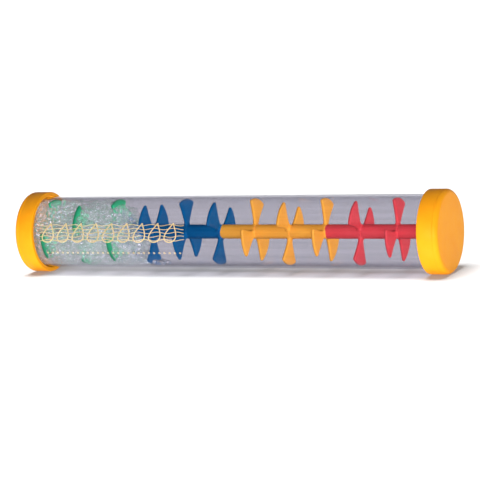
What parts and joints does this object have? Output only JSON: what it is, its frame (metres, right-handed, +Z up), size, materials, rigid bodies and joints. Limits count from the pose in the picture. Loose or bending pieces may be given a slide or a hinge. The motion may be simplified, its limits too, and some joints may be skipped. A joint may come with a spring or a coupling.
{
  "type": "rainstick",
  "caption": "Clear-tube rainstick: a sealed tube with two push-on caps, a spindle of three-petal baffles and a charge of small loose beads.",
  "frame": {"origin": "middle of the tube's axis, halfway between the two caps' end faces", "axes": "+X along the tube towards the red baffles, with the bead charge at the -X end; +Z up, with the bead heap at the bottom of the tube"},
  "size_m": [0.316, 0.0564, 0.0564],
  "materials": {
    "clear_tube": "clear, glossy",
    "cap_plastic": "satin moulded yellow plastic",
    "rod_plastic": "plain off-white plastic",
    "bead_plastic": "clear, glossy beads",
    "green_plastic": "satin moulded green plastic",
    "blue_plastic": "satin moulded blue plastic",
    "yellow_plastic": "satin moulded yellow plastic",
    "red_plastic": "satin moulded red plastic"
  },
  "bodies": {
    "casing": {"tube": "clear_tube", "cap_left": "cap_plastic", "cap_right": "cap_plastic"},
    "spindle": {"spindle_rod": "rod_plastic", "baffle_green_1": "green_plastic", "baffle_green_2": "green_plastic", "baffle_green_3": "green_plastic", "baffle_blue_1": "blue_plastic", "baffle_blue_2": "blue_plastic", "baffle_blue_3": "blue_plastic", "baffle_yellow_1": "yellow_plastic", "baffle_yellow_2": "yellow_plastic", "baffle_yellow_3": "yellow_plastic", "baffle_red_1": "red_plastic", "baffle_red_2": "red_plastic", "baffle_red_3": "red_plastic"},
    "beads": {"bead_charge_1": "bead_plastic", "bead_charge_2": "bead_plastic", "bead_charge_3": "bead_plastic", "bead_charge_4": "bead_plastic", "bead_charge_5": "bead_plastic"}
  },
  "joints": [
    {"name": "spindle_spin", "type": "hinge", "parent": "casing", "child": "spindle", "pos_m": [0, 0, 0], "axis": [1, 0, 0], "continuous": true},
    {"name": "bead_roll", "type": "hinge", "parent": "casing", "child": "beads", "pos_m": [0, 0, 0], "axis": [1, 0, 0], "continuous": true}
  ]
}
